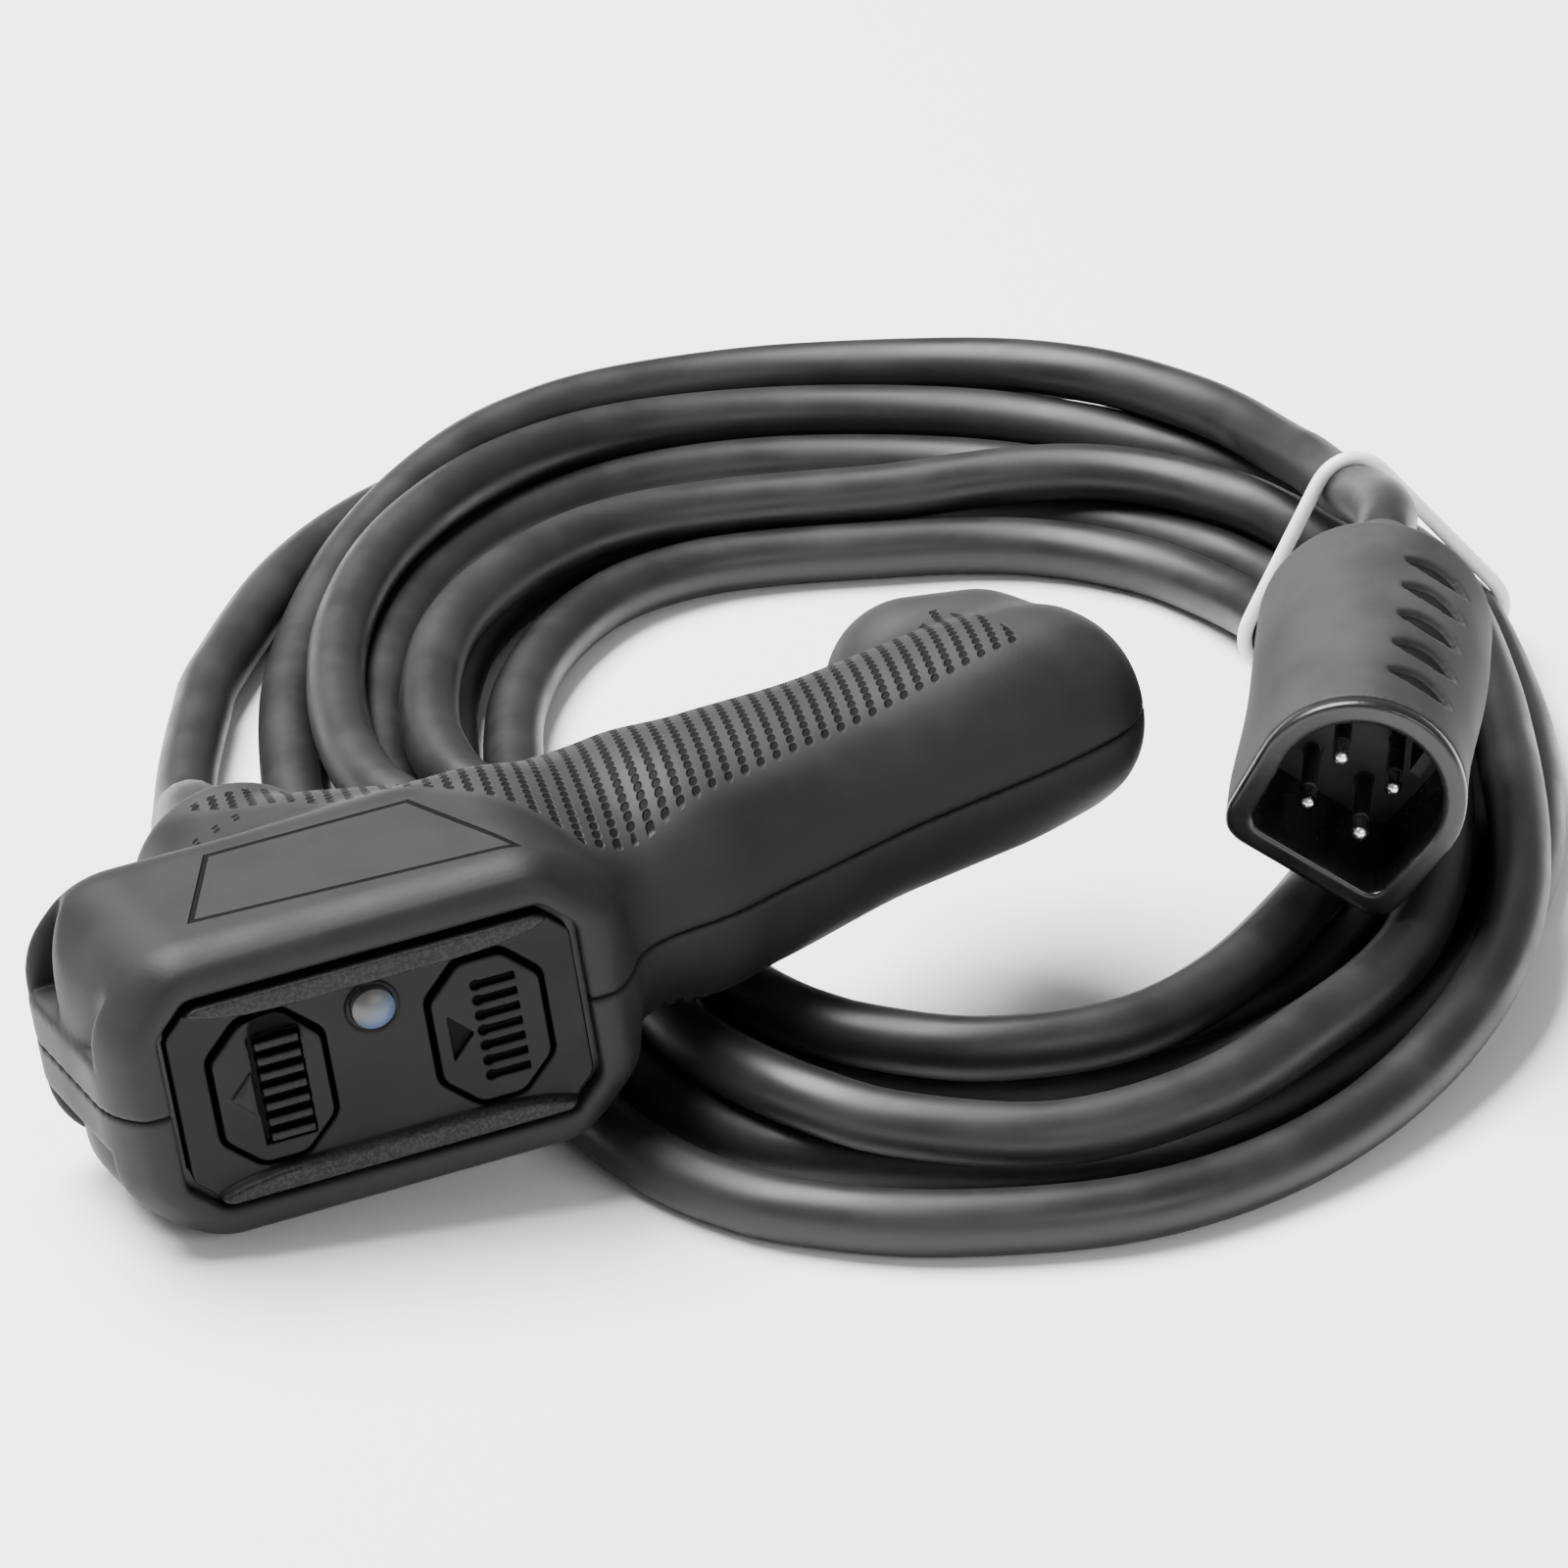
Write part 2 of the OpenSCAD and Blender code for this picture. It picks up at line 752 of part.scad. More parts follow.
module crimp_sleeves() {
    color(brass) lay_plug() for (p = pin_spots) translate([p[0], p[1], -43]) difference() {
        cylinder(r = 2.2, h = 9);
        translate([0, 0, 5]) cylinder(r = shank_r + fit, h = 5);
    }
}

module plug_boot() {
    color([0.24, 0.24, 0.24]) lay_plug() difference() {
        translate([0, 0, -plug_len - 20]) cylinder(r1 = 5.6, r2 = 9, h = 20);
        translate([0, 0, -plug_len - 21]) cylinder(r = cord_r + fit, h = 22);
    }
}

upper_shell();
lower_shell();
front_bezel();
bezel_gasket();
button_left();
button_right();
button_frame();
seal_sheet();
switch_left();
switch_right();
plunger_left();
plunger_right();
circuit_board();
lamp_emitter();
lamp_lens();
terminal_block();
board_screws();
shell_screws();
thread_inserts();
cord_gland();
cord_clamp();
clamp_screws();
cord_tail();
wire_black();
wire_red();
wire_green();
wire_white();
cord_lead_out();
cord_coil();
cord_lead_in();
cord_tie();
plug_boot();
plug_body();
plug_liner();
pin_carrier();
pin_1();
pin_2();
pin_3();
pin_4();
crimp_sleeves();
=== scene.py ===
import json
import math

import bpy
import numpy as np
from mathutils import Matrix, Vector


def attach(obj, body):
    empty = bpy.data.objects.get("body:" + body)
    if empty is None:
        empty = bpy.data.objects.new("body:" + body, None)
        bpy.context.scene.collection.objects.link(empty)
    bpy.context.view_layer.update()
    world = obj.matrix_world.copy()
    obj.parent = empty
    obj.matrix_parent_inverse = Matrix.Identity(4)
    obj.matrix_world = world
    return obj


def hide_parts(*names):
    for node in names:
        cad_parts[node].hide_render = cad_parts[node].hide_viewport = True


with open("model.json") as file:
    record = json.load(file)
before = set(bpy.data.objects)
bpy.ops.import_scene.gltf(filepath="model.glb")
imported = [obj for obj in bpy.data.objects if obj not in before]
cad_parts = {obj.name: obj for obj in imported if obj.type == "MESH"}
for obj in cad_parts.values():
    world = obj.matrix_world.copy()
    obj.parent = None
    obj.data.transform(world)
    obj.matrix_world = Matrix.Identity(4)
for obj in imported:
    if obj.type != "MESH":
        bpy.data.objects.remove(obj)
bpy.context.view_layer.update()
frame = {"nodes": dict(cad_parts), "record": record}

nodes = frame["nodes"]
MM = 0.001

# Lengths below are millimetres. The handset's own axes: x along the panel, y into the head, z across the
# shells. The plug's own axes: z runs out of its mouth.
TILT, GRIP_ANGLE = math.radians(8.5), math.radians(20)
HAND_AT = (-39.4, -35.8, 26.84)
HAND = (Matrix.Translation(Vector(HAND_AT) * MM) @ Matrix.Rotation(-TILT, 4, "Y")
        @ Matrix.Scale(MM, 4))
PLUG_AT = Vector((103.9, -17.7, 35.8))
PLUG_TURN = (Matrix.Rotation(math.radians(-23.4), 4, "Z") @ Matrix.Rotation(math.radians(92.8), 4, "X")
             @ Matrix.Rotation(math.radians(-31), 4, "Z"))
PLUG = Matrix.Translation(PLUG_AT * MM) @ PLUG_TURN @ Matrix.Scale(MM, 4)


# Meshes drawn from distance fields. A field gives about the distance to its surface, negative inside.

def smin(a, b, k):
    h = np.maximum(k - np.abs(a - b), 0) / k
    return np.minimum(a, b) - h * h * k * 0.25


def smax(a, b, k):
    return -smin(-a, -b, k)


def capsule(x, y, z, p, q, r):
    d = np.subtract(q, p)
    t = np.clip(((x - p[0]) * d[0] + (y - p[1]) * d[1] + (z - p[2]) * d[2]) / (d @ d), 0, 1)
    return np.sqrt((x - p[0] - t * d[0]) ** 2 + (y - p[1] - t * d[1]) ** 2 + (z - p[2] - t * d[2]) ** 2) - r


def octagon(x, z, w, h, c, k=0.8):
    d = smax(np.abs(x) - w / 2, np.abs(z) - h / 2, k)
    return smax(d, (np.abs(x) + np.abs(z) - (w / 2 + h / 2 - c)) * 0.7071, k)


def step_up(x, a, b):
    t = np.clip((x - a) / (b - a), 0, 1)
    return t * t * (3 - 2 * t)


def net(field, lo, hi, step):
    """Vertices and quads of the surface where field is 0, by surface nets."""
    axes = [np.arange(a, b + step, step, dtype=np.float32) for a, b in zip(lo, hi)]
    f = field(axes[0][:, None, None], axes[1][None, :, None], axes[2][None, None, :])
    f = np.ascontiguousarray(np.broadcast_to(f, [len(a) for a in axes]), dtype=np.float32)
    # Cells with corners on both sides of the surface
    inside = f < 0
    full = np.array(f.shape)
    corners = np.zeros(full - 1, np.uint8)
    for i in (0, 1):
        for j in (0, 1):
            for k in (0, 1):
                corners += inside[i:full[0] - 1 + i, j:full[1] - 1 + j, k:full[2] - 1 + k]
    mixed = (corners > 0) & (corners < 8)
    cells = np.argwhere(mixed)
    index = np.full(mixed.shape, -1, np.int64)
    index[mixed] = np.arange(len(cells))
    # One vertex in each, amid the points where the surface crosses its edges
    total, count = np.zeros((len(cells), 3)), np.zeros(len(cells))
    for a in range(3):
        b, c = (a + 1) % 3, (a + 2) % 3
        for i in (0, 1):
            for j in (0, 1):
                p0 = cells.copy()
                p0[:, b] += i
                p0[:, c] += j
                p1 = p0.copy()
                p1[:, a] += 1
                f0, f1 = f[tuple(p0.T)], f[tuple(p1.T)]
                hit = (f0 < 0) != (f1 < 0)
                t = np.where(hit, f0 / np.where(hit, f0 - f1, 1), 0)
                point = p0.astype(float)
                point[:, a] += t
                total[hit] += point[hit]
                count += hit
    verts = total / count[:, None] * step + np.array(lo)
    # One quad round each edge that the surface crosses
    quads = []
    for a in range(3):
        b, c = (a + 1) % 3, (a + 2) % 3
        sl0, sl1 = [slice(None)] * 3, [slice(None)] * 3
        sl0[a], sl1[a] = slice(0, -1), slice(1, None)
        for s in (sl0, sl1):
            s[b] = s[c] = slice(1, -1)
        s0 = inside[tuple(sl0)]
        edges = np.argwhere(s0 != inside[tuple(sl1)])
        out = s0[tuple(edges.T)]
        edges[:, b] += 1
        edges[:, c] += 1
        ring = []
        for i, j in ((1, 1), (0, 1), (0, 0), (1, 0)):
            e = edges.copy()
            e[:, b] -= i
            e[:, c] -= j
            ring.append(index[tuple(e.T)])
        q = np.stack(ring, 1)
        q[~out] = q[~out][:, ::-1]
        quads.append(q)
    return verts, np.concatenate(quads)


def carved(name, field, lo, hi, step, matrix, material, body, replaced):
    """A piece with its surface where field is 0. Matrix takes the field's millimetres to the row's metres."""
    verts, faces = net(field, lo, hi, step)
    me = bpy.data.meshes.new(name)
    me.from_pydata([tuple(v) for v in verts], [], [tuple(q) for q in faces])
    me.validate()
    me.polygons.foreach_set("use_smooth", [True] * len(me.polygons))
    ob = bpy.data.objects.new(name, me)
    bpy.context.scene.collection.objects.link(ob)
    ob.matrix_world = matrix
    me.materials.append(material)
    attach(ob, body)
    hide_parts(*replaced)


# Materials

class Value:
    """A shader value, so that plain arithmetic builds the nodes."""

    def __init__(self, nodes, socket):
        self.nodes, self.socket = nodes, socket

    def __add__(self, other):
        return self.nodes.math("ADD", self, other)

    def __sub__(self, other):
        return self.nodes.math("SUBTRACT", self, other)

    def __rsub__(self, other):
        return self.nodes.math("SUBTRACT", other, self)

    def __mul__(self, other):
        return self.nodes.math("MULTIPLY", self, other)

    def __truediv__(self, other):
        return self.nodes.math("DIVIDE", self, other)

    def __abs__(self):
        return self.nodes.math("ABSOLUTE", self)


class Nodes:
    """Small helper for building a shader."""

    def __init__(self, name):
        self.material = bpy.data.materials.new(name)
        self.material.use_nodes = True
        self.tree = self.material.node_tree
        self.shader = self.tree.nodes["Principled BSDF"]
        self.coords = Value(self, self.tree.nodes.new("ShaderNodeTexCoord").outputs["Object"])

    def put(self, socket, value):
        if isinstance(value, Value):
            self.tree.links.new(value.socket, socket)
        else:
            socket.default_value = value

    def math(self, operation, a, b=0.0):
        n = self.tree.nodes.new("ShaderNodeMath")
        n.operation = operation
        self.put(n.inputs[0], a)
        self.put(n.inputs[1], b)
        return Value(self, n.outputs[0])

    def ramp(self, value, a, b, lo=0.0, hi=1.0):
        n = self.tree.nodes.new("ShaderNodeMapRange")
        n.interpolation_type = "SMOOTHSTEP"
        for socket, v in zip(n.inputs, (value, a, b, lo, hi)):
            self.put(socket, v)
        return Value(self, n.outputs[0])

    def noise(self, scale, detail):
        n = self.tree.nodes.new("ShaderNodeTexNoise")
        self.put(n.inputs["Vector"], self.coords)
        n.inputs["Scale"].default_value = scale
        n.inputs["Detail"].default_value = detail
        return Value(self, n.outputs["Fac"])

    def xyz(self):
        n = self.tree.nodes.new("ShaderNodeSeparateXYZ")
        self.put(n.inputs[0], self.coords)
        return [Value(self, socket) for socket in n.outputs]

    def mix(self, fac, a, b):
        n = self.tree.nodes.new("ShaderNodeMix")
        n.data_type = "RGBA"
        self.put(n.inputs[0], fac)
        for socket, v in ((n.inputs[6], a), (n.inputs[7], b)):
            self.put(socket, v if isinstance(v, Value) else (*v, 1.0))
        return Value(self, n.outputs[2])

    def bump(self, height, distance, strength=1.0, normal=None):
        n = self.tree.nodes.new("ShaderNodeBump")
        n.inputs["Strength"].default_value = strength
        n.inputs["Distance"].default_value = distance
        self.put(n.inputs["Height"], height)
        if normal is not None:
            self.put(n.inputs["Normal"], normal)
        return Value(self, n.outputs[0])

    def along(self, start, way):
        """How many millimetres a point is beyond start in the direction way, on an object in row metres."""
        n = self.tree.nodes.new("ShaderNodeVectorMath")
        n.operation = "DOT_PRODUCT"
        self.put(n.inputs[0], self.coords)
        n.inputs[1].default_value = tuple(Vector(way) / MM)
        return Value(self, n.outputs["Value"]) - float(Vector(start).dot(Vector(way)))

    def beads(self, across, lengthwise, pitch, step, radius):
        """Columns of round beads: 1 in the middle of each."""
        a = self.math("PINGPONG", across, pitch / 2)
        b = self.math("PINGPONG", lengthwise, step / 2)
        return self.ramp(self.math("SQRT", a * a + b * b), radius + 0.12, radius - 0.22)

    def inside(self, value, lo, hi, soft=0.05):
        """1 where value lies between lo and hi."""
        return self.ramp(value, lo - soft, lo + soft) * self.ramp(value, hi + soft, hi - soft)

    def set(self, **values):
        for key, v in values.items():
            self.put(self.shader.inputs[key.replace("_", " ")], (*v, 1.0) if isinstance(v, tuple) else v)
        return self.material


def base_coat(m, color, rough, unit=1.0, vary=0.25):
    """Colour, roughness and grain with soft variation. Unit is the millimetres in one unit of the object."""
    blotch = m.noise(0.08 * unit, 4)
    fine = m.noise(1.6 * unit, 2)
    dark = tuple(c * (1 - vary) for c in color)
    light = tuple(min(1.0, c * (1 + vary)) for c in color)
    tint = m.mix(m.ramp(blotch, 0.3, 0.7), dark, light)
    tint = m.mix(m.ramp(fine, 0.62, 0.78) * 0.3, tint, light)
    return tint, m.ramp(blotch, 0.3, 0.75, rough - 0.06, rough + 0.08), fine


def plain(name, color, rough, unit=1.0, vary=0.25, grain=0.03, metallic=0.0, **more):
    """A material that is one coat all over, with grain that many millimetres deep."""
    m = Nodes(name)
    tint, roughness, fine = base_coat(m, color, rough, unit, vary)
    return m.set(Base_Color=tint, Roughness=roughness, Metallic=metallic,
                 Normal=m.bump(fine, grain * MM, 0.6), **more)


# Handset

MUZZLE_X, MUZZLE_R = -6, 14.5
GLAND_R = 7.05
GRIP_MID = (86, 43)
# Where the shell screws stand, and the radii of their posts and wells
SCREWS = [(-28.5, 26.5), (28.5, 26.5), (29, 13), (70, 37), (100, 48)]
POST_R, WELL_R = 3.6, 3.05
PANEL_W, PANEL_H, PANEL_CUT = 55.5, 30, 4
# Spots without dimples behind the head and on the finger stop: middle and half sizes
SMOOTH_SPOTS = ((37.0, 47.5, 9.0, 6.0), (87.0, 59.5, 9.5, 9.5))
COLUMN_PITCH, BEAD_PITCH = 2.73, 1.3


def cylinder(a, b, r):
    return np.sqrt(a * a + b * b) - r


def turned(x, y):
    """Along the grip, and across it towards the palm side."""
    c, s = math.cos(GRIP_ANGLE), math.sin(GRIP_ANGLE)
    x, y = x - GRIP_MID[0], y - GRIP_MID[1]
    return x * c + y * s, y * c - x * s


def head_form(x, y, z):
    t = np.clip(y / 36, 0, 1)
    sides = octagon(x + 3 * t, z, 72 + 6 * t, 44, 9, 4)
    slope = (octagon(x, z, 65, 38.5, 8, 2) - y) * 0.7071
    front = smax(smax(sides, slope, 2.5), -y, 1.2)
    return smax(front, y - 36, 9)


def grip_form(x, y, z):
    u, v = turned(x, y)
    half = 16 + 1.9 * step_up(-u, 8, 36) - 1.4 * step_up(u, 8, 28)
    v = v + 2 + 0.12 * np.clip(u + 5, -45, 30)
    w = np.abs(v) / (half * np.where(v > 0, 0.98, 1.07))
    d = ((w ** 2.2 + (np.abs(z) / half) ** 2.2) ** (1 / 2.2) - 1) * half
    return smax(smax(d, u - 33, 14), -u - 46, 10)


def handset_form(x, y, z):
    d = smin(grip_form(x, y, z), capsule(x, y, z, (28, 24, 0), (44, 28, 0), 16.8), 6)
    d = smin(d, capsule(x, y, z, (2, 42, 0), (30, 30, 0), 17.2), 5)
    muzzle = smax(cylinder(x - MUZZLE_X, z, MUZZLE_R), y - 62, 4)
    d = smin(d, smax(muzzle, 18 - y, 1), 4)
    d = smin(d, capsule(x, y, z, (31, 37, 0), (44, 37.5, 0), 15), 5)
    finger_stop = capsule(x, y, z, (94, 60, 0), (102, 57.5, 0), 13)
    d = smin(d, finger_stop, 4)
    return smin(d, head_form(x, y, z), 7)


def handset_room(x, y, z):
    """The hollow inside the shells."""
    d = np.maximum(octagon(x, z, 65, 38, 7), np.maximum(3 - y, y - 32))
    d = np.minimum(d, np.maximum(cylinder(x - MUZZLE_X, z, MUZZLE_R - 4), np.maximum(30 - y, y - 52)))
    d = np.minimum(d, np.maximum(cylinder(x - MUZZLE_X, z, GLAND_R), 50 - y))
    u, v = turned(x, y)
    return np.minimum(d, np.maximum(cylinder(v + 2, z, 11.5), np.abs(u + 16) - 36))


def end_pocket(x, y, z):
    """The scooped pockets in the head's end face, one in each shell, with a bulged floor."""
    d = np.maximum(np.maximum(x + 34.2, np.abs(y - 19) - 11.75), np.abs(np.abs(z) - 13.2) - 6.2)
    return smax(d, -cylinder(x + 21, y - 19, 17), 1)


def shell_field(side):
    def field(x, y, z):
        outside = handset_form(x, y, z)
        d = smax(outside, -end_pocket(x, y, z), 1.5)
        opening = octagon(x, z, PANEL_W + 2.1, PANEL_H + 2, PANEL_CUT + 0.5)
        d = smax(d, -np.maximum(opening, y - 9.5), 0.8)
        d = np.maximum(d, -handset_room(x, y, z))
        for sx, sy in SCREWS:
            d = np.minimum(d, np.maximum(cylinder(x - sx, y - sy, POST_R), outside))
            if side < 0:
                d = np.maximum(d, -np.maximum(cylinder(x - sx, y - sy, WELL_R), z + 6))
        return smax(d, 0.04 - side * z, 0.5)
    return field


def blank_panel(m, x, y):
    """Flat distance to the line round the head's blank panel: two long edges and two slanted ends."""
    edges = [y + x * 0.068 - 8.64, 26.5 - y, (x + 23.6 - y * 0.364) * 0.94, (27.6 - x - y * 0.513) * 0.89]
    nearest = edges[0]
    for edge in edges[1:]:
        nearest = m.math("MINIMUM", nearest, edge)
    return abs(nearest)


def handset_rubber():
    m = Nodes("handset rubber")
    tint, roughness, fine = base_coat(m, (0.008, 0.008, 0.0084), 0.57)
    x, y, z = m.xyz()
    u, v = turned(x, y)
    high = abs(z)
    # Dimpled band over the grip's top and palm side; the grip's top is painted lighter, as painted light
    # where it faces the lamp above
    corner = y + x * 0.95 - 45.5
    painted_top_light = m.ramp(v, -13.5, -8.5) * m.ramp(corner, -3.0, 1.0)
    edge = m.ramp(v, -10.8, -10.2) * m.ramp(corner, -0.3, 0.3) * m.inside(u, -90.0, 16.0, 0.2)
    edge = edge * m.ramp(high, 3.0, 3.6) * m.ramp(y, 57.2, 56.6)
    for spot_x, spot_y, half_x, half_y in SMOOTH_SPOTS:
        ex, ey = (x - spot_x) / half_x, (y - spot_y) / half_y
        edge = edge * m.ramp(ex * ex + ey * ey, 0.95, 1.05)
    slant = u - v * 0.46 + 57.3
    run = m.math("MINIMUM", high, 13.5) - v
    dots = m.beads(slant, run, COLUMN_PITCH, BEAD_PITCH, 0.66) * edge
    muzzle = m.inside(x, -16.4, -4.6) * m.inside(y, 45.6, 48.4) * m.ramp(high, 6.0, 7.0)
    dots = m.math("MAXIMUM", dots, m.beads(x - MUZZLE_X, y + 0.5, 3.0, BEAD_PITCH, 0.5) * muzzle)
    cut = m.ramp(blank_panel(m, x, y), 0.45, 0.2) * m.ramp(z, 17.0, 18.0)
    deep = m.math("MAXIMUM", dots, cut)
    # Painted light: the grip's top is painted lighter where it faces the light from above.
    tint = m.mix(painted_top_light * 0.5, tint, (0.03, 0.03, 0.031))
    # Painted shade: the dimples (dots) and the blank panel's cut outline (cut) are painted near black, as the
    # shade in these hollows.
    tint = m.mix(dots * 0.85, tint, (0.004, 0.004, 0.004))
    tint = m.mix(cut * 0.9, tint, (0.002, 0.002, 0.002))
    normal = m.bump(1.0 - deep, 0.35 * MM, 1.0, m.bump(fine, 0.03 * MM, 0.6))
    return m.set(Base_Color=tint, Roughness=roughness, Normal=normal,
                 Specular_IOR_Level=m.ramp(deep, 0.0, 1.0, 0.22, 0.05))


rubber = handset_rubber()
for side, name, low, high in ((1, "upper_shell", -0.8, 23), (-1, "lower_shell", -23, 0.8)):
    carved(name + "_skin", shell_field(side), (-43.5, -1, low), (124, 77, high), 0.5, HAND, rubber,
           "handset", [name])


# Panel and buttons

BUTTON_X, BUTTON_W, BUTTON_H = 15, 15, 21.2
BEZEL_FACE, CAP_FACE = 0.8, 0.2
BAR_PITCH, BARS = 2.3, range(-3, 4)
LENS_Z = 7.7


def bezel_field(x, y, z):
    outline = octagon(x, z, PANEL_W, PANEL_H, PANEL_CUT)
    plate = np.maximum(outline, np.maximum(BEZEL_FACE - y, y - 4.5))
    flange = np.maximum(octagon(x, z, 61, 37, 7), np.maximum(4 - y, y - 5.5))
    inner = 11.4 + 3.2 * (np.abs(x) / 27) ** 5
    rail = smax((inner - np.abs(z)) * 0.8 + (BEZEL_FACE - y) * 0.35, -0.8 - y, 0.4)
    rail = smax(smax(rail, outline, 0.5), y - 2, 0.1)
    d = np.minimum(smin(plate, rail, 0.2), flange)
    for s in (-1, 1):
        d = smax(d, -octagon(x - s * BUTTON_X, z, BUTTON_W + 1.4, BUTTON_H + 1.4, 5), 0.35)
    d = smax(d, -cylinder(x, z - LENS_Z, 2.95), 0.3)
    ring = np.sqrt((cylinder(x, z - LENS_Z, 3.4)) ** 2 + (y - 0.75) ** 2) - 0.32
    return smax(d, -ring, 0.2)


def cap_field(x, y, z):
    """A button cap with its flange and stem, blank in front."""
    d = smax(octagon(x, z, BUTTON_W, BUTTON_H, 4.6), CAP_FACE - y, 0.5)
    d = np.maximum(d, y - 6)
    flange = np.maximum(octagon(x, z, BUTTON_W + 2.6, BUTTON_H + 2.6, 5.2), np.abs(y - 6.45) - 0.75)
    stem = np.maximum(cylinder(x, z, 2.5), np.abs(y - 8) - 1.6)
    return np.minimum(np.minimum(d, flange), stem)


def triangle(x, z, tip, base, half):
    """Flat distance to an arrow head that points along x from base to tip."""
    way = 1 if tip > base else -1
    run = abs(tip - base)
    slope = math.hypot(run, half)
    return np.maximum(((x - base) * way * half + np.abs(z) * run - run * half) / slope, (base - x) * way)


def left_button(x, y, z):
    """Raised bars in a hollow, a raised arrow head and a scoop for the thumb's tip."""
    scoop = np.sqrt((x - 1.5) ** 2 + (y + 5.5) ** 2 + (z - 8.6) ** 2) - 7
    hollow = np.maximum(np.maximum(np.abs(x - 1.2) - 3.5, np.abs(z) - 8), y - 1.25)
    d = smax(smax(cap_field(x, y, z), -scoop, 0.4), -hollow, 0.3)
    for i in BARS:
        bar = np.maximum(np.abs(x - 1.5) - 3, np.abs(z - BAR_PITCH * i) - 0.6)
        d = smin(d, smax(bar, np.abs(y - 0.75) - 1.1, 0.3), 0.15)
    flat = triangle(x, z, -5.8, -2.6, 3.4)
    return smin(d, np.maximum(flat, np.abs(y - 0.6) - 0.95 + 0.35 * np.maximum(flat + 0.9, 0)), 0.15)


def right_button(x, y, z):
    """Bars and an arrow head cut in."""
    d = cap_field(x, y, z)
    for i in BARS:
        zi = z - BAR_PITCH * i
        bar = np.maximum(np.abs(x - 1.5) - 2.8, np.abs(zi) - 0.55)
        d = smax(d, -np.maximum(np.minimum(bar, cylinder(x + 1.1, zi, 0.75)), y - 1.3), 0.2)
    return smax(d, -np.maximum(triangle(x, z, -2.4, -5.6, 3.4), y - 1), 0.15)


def panel_plastic(name, face):
    """Dark plastic, worn where it stands in front of its face, with painted shade (near black) in what is cut
    into it.
    """
    m = Nodes(name)
    tint, roughness, fine = base_coat(m, (0.002, 0.002, 0.0022), 0.45)
    y = m.xyz()[1]
    worn = m.ramp(y, face - 0.05, face - 1.2) * m.ramp(m.noise(2.2, 4), 0.42, 0.62, 0.25, 1.0)
    tint = m.mix(worn, tint, (0.016, 0.016, 0.0165))
    # Painted shade: what is cut in behind the face is painted near black.
    deep = m.ramp(y, face + 0.2, face + 0.6)
    tint = m.mix(deep, tint, (0.001, 0.001, 0.001))
    return m.set(Base_Color=tint, Roughness=roughness, Normal=m.bump(fine, 0.03 * MM, 0.6),
                 Specular_IOR_Level=m.ramp(deep, 0.0, 1.0, 0.16, 0.05))


carved("bezel_skin", bezel_field, (-31.5, -1.5, -19.5), (31.5, 6, 19.5), 0.25, HAND,
       panel_plastic("panel plastic", BEZEL_FACE), "handset", ["front_bezel"])
cap_plastic = panel_plastic("button plastic", CAP_FACE)
for side, field, name in ((-1, left_button, "left"), (1, right_button, "right")):
    carved(f"button_{name}_skin", field, (-9.4, -1, -12.4), (9.4, 10.2, 12.4), 0.16,
           HAND @ Matrix.Translation((side * BUTTON_X, 0, 0)), cap_plastic,
           f"{name}_button", [f"button_{name}"])


# Plug

PLUG_R, PLUG_BACK_R, PLUG_LEN = 15, 16.8, 55
CAVITY_R, CAVITY_LOW, LINER_T = 11.7, 11.8, 1.2
LINER_BACK = -30
LEAF_FIRST, LEAF_PITCH, LEAVES = 11.5, 7.6, 5
LEAF_CENTRE, LEAF_OFFSET, LEAF_R = 0.5, 6.2, 8.4


def arch(x, y, r, low, k=0.8):
    """Flat distance to a shape that is round on top and nearly square below."""
    taper = 1.2 * np.maximum(-y, 0) / low
    return smax(np.sqrt(x * x + np.maximum(y, 0) ** 2) - r + taper, -low - y, k)


def plug_skin(x, y, z):
    t = step_up(-z, 8, 40)
    d = arch(x, y, PLUG_R, PLUG_R, 4.5) * (1 - t) + cylinder(x, y, PLUG_BACK_R) * t
    return smax(smax(d, -PLUG_LEN - z, 5), z + 2.5, 0.3)


def leaf(x, z, i):
    """Flat distance to one of the leaf-shaped recesses."""
    zi = z + LEAF_FIRST + LEAF_PITCH * i
    d = np.sqrt((x - LEAF_CENTRE) ** 2 + (np.abs(zi) + LEAF_OFFSET) ** 2) - LEAF_R
    return np.maximum(d, -x - 4.6)


def plug_field(x, y, z):
    skin = plug_skin(x, y, z)
    gap = LINER_T + 0.05
    d = np.maximum(skin, -np.maximum(arch(x, y, CAVITY_R + gap, CAVITY_LOW + gap), LINER_BACK - z))
    d = np.maximum(d, -np.maximum(cylinder(x, y + 2.4, 9.5), np.abs(z + 38) - 8))
    d = np.maximum(d, -np.maximum(cylinder(x, y, 4.55), z + 40))
    for i in range(LEAVES):
        d = smax(d, -np.maximum(smax(leaf(x, z, i), -1.1 - skin, 0.3), -y), 0.4)
    return d


def liner_field(x, y, z):
    rim = smax(arch(x, y, PLUG_R, PLUG_R, 4.5), np.abs(z + 1.25) - 1.25, 0.9)
    wall = arch(x, y, CAVITY_R + LINER_T, CAVITY_LOW + LINER_T)
    wall = np.maximum(wall, np.maximum(LINER_BACK - z, z + 1))
    return smax(smin(rim, wall, 0.5), -arch(x, y, CAVITY_R, CAVITY_LOW, 2.5), 0.7)


